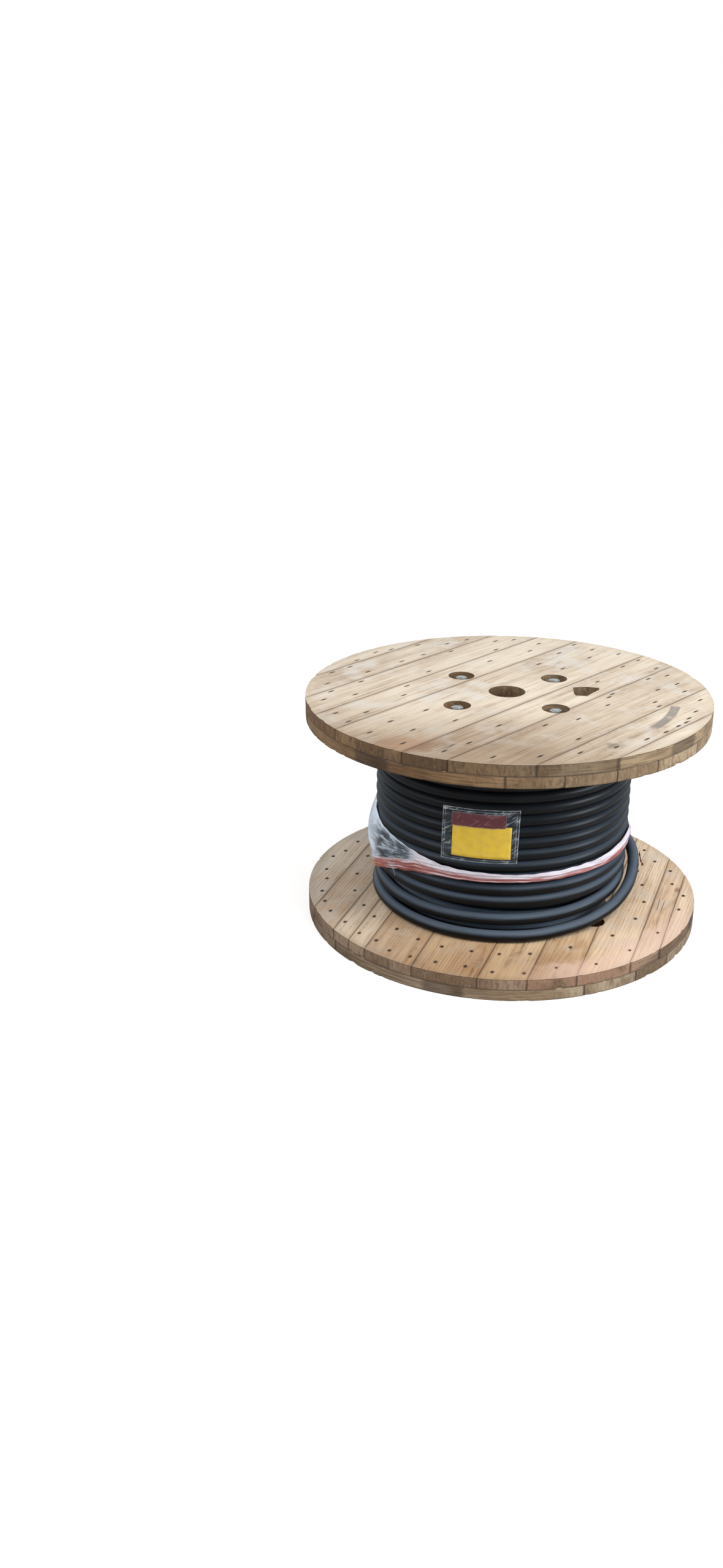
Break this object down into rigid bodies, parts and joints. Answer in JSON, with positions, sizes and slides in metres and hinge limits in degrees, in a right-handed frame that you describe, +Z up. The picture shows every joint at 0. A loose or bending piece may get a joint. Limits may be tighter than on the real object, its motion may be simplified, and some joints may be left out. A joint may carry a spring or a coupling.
{
  "type": "wooden cable drum",
  "caption": "Wooden drum with flanges of crossed boards, standing on one flange, wound with thick black power cable and tied with stretch film.",
  "frame": {"origin": "on the drum's axis, at the underside of the bottom flange, which stands on the floor", "axes": "+Z up along the drum's axis; -Y is the side with the document pouch; +X is the side where the last turn lifts off the flange"},
  "size_m": [0.9, 0.9, 0.525],
  "materials": {
    "weathered_top_boards": "sawn softwood, weathered grey and pinkish tan, dark nail marks",
    "sheltered_boards": "sawn softwood, warm brown, darker along the seams",
    "flange_boards": "sawn softwood with dark weathered edges",
    "barrel_wood": "plain sawn softwood",
    "zinc_steel": "dull zinc plating",
    "cable_sheath": "satin black sheath",
    "shrink_cap": "heat-shrunk cap",
    "stretch_film": "clear film twisted tight, milky with red streaks",
    "clear_pouch": "clear wrinkled film",
    "yellow_paper": "matt card"
  },
  "bodies": {
    "root": {"barrel_former_bottom": "barrel_wood", "barrel_former_top": "barrel_wood", "barrel_staves": "barrel_wood", "bottom_inner_board_01": "sheltered_boards", "bottom_inner_board_02": "sheltered_boards", "bottom_inner_board_03": "sheltered_boards", "bottom_inner_board_04": "sheltered_boards", "bottom_inner_board_05": "sheltered_boards", "bottom_inner_board_06": "sheltered_boards", "bottom_inner_board_07": "sheltered_boards", "bottom_inner_board_08": "sheltered_boards", "bottom_inner_board_09": "sheltered_boards", "bottom_inner_board_10": "sheltered_boards", "bottom_inner_board_11": "sheltered_boards", "bottom_outer_board_01": "flange_boards", "bottom_outer_board_02": "flange_boards", "bottom_outer_board_03": "flange_boards", "bottom_outer_board_04": "flange_boards", "bottom_outer_board_05": "flange_boards", "bottom_outer_board_06": "flange_boards", "bottom_outer_board_07": "flange_boards", "bottom_outer_board_08": "flange_boards", "bottom_outer_board_09": "flange_boards", "cable_end_cap": "shrink_cap", "document_pouch": "clear_pouch", "loose_last_turn": "cable_sheath", "stretch_film": "stretch_film", "tie_rod_nuts": "zinc_steel", "tie_rod_washers": "zinc_steel", "tie_rods": "zinc_steel", "top_inner_board_01": "flange_boards", "top_inner_board_02": "flange_boards", "top_inner_board_03": "flange_boards", "top_inner_board_04": "flange_boards", "top_inner_board_05": "flange_boards", "top_inner_board_06": "flange_boards", "top_inner_board_07": "flange_boards", "top_inner_board_08": "flange_boards", "top_inner_board_09": "flange_boards", "top_outer_board_01": "weathered_top_boards", "top_outer_board_02": "weathered_top_boards", "top_outer_board_03": "weathered_top_boards", "top_outer_board_04": "weathered_top_boards", "top_outer_board_05": "weathered_top_boards", "top_outer_board_06": "weathered_top_boards", "top_outer_board_07": "weathered_top_boards", "top_outer_board_08": "weathered_top_boards", "top_outer_board_09": "weathered_top_boards", "wound_cable": "cable_sheath", "yellow_card": "yellow_paper"}
  },
  "joints": []
}
